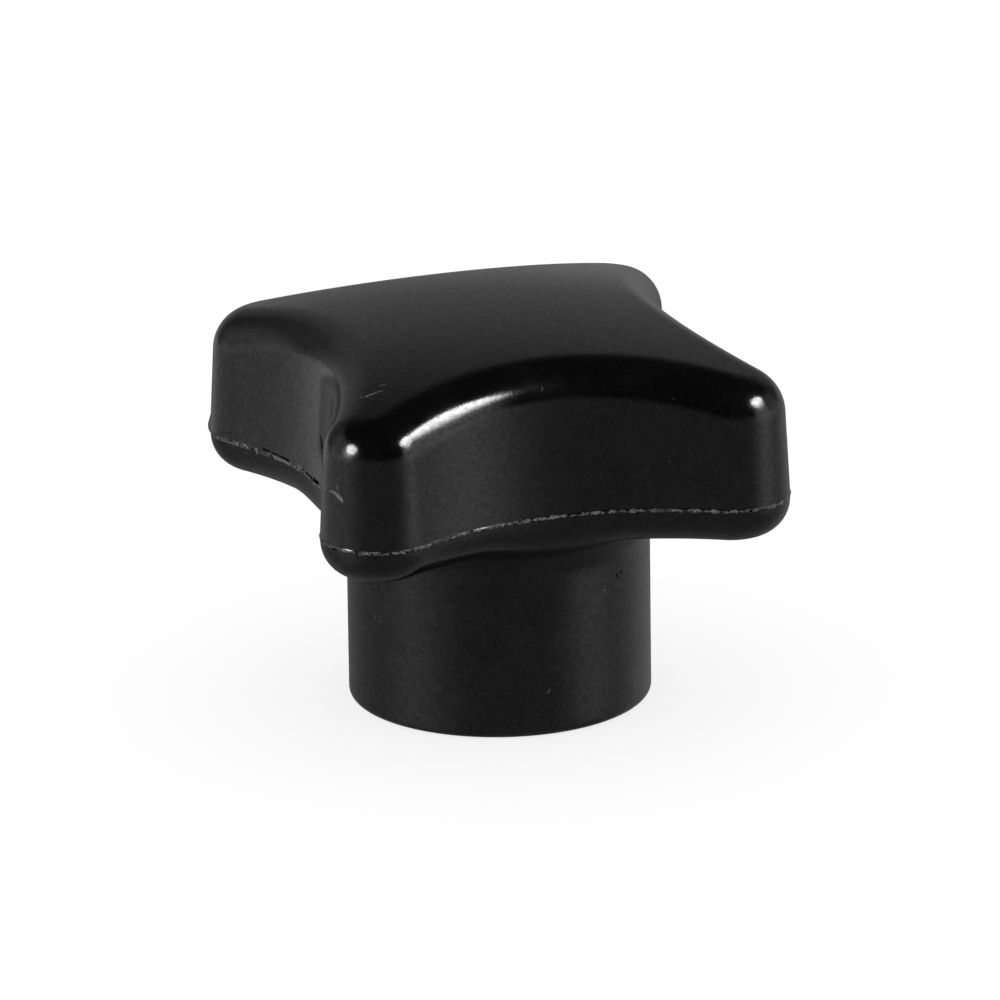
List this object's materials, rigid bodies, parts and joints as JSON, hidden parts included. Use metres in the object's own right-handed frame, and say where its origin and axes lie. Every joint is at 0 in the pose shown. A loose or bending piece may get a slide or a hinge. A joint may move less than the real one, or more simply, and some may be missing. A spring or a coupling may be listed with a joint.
{
  "type": "cross knob",
  "caption": "Black moulded palm grip with a cross of rounded arms, a domed crown and a round hub around a blind threaded bush.",
  "frame": {"origin": "centre of the hub's end face, where the threaded hole opens", "axes": "+Z along the knob's axis, from the hub's end face towards the crown; two arms lie along X and two along Y"},
  "size_m": [0.0502, 0.0502, 0.032],
  "materials": {
    "moulding": "glossy black thermoset, softened by fine wear",
    "bush": "turned brass, lightly tarnished"
  },
  "bodies": {
    "root": {"knob_body": "moulding", "threaded_insert": "bush"}
  },
  "joints": []
}
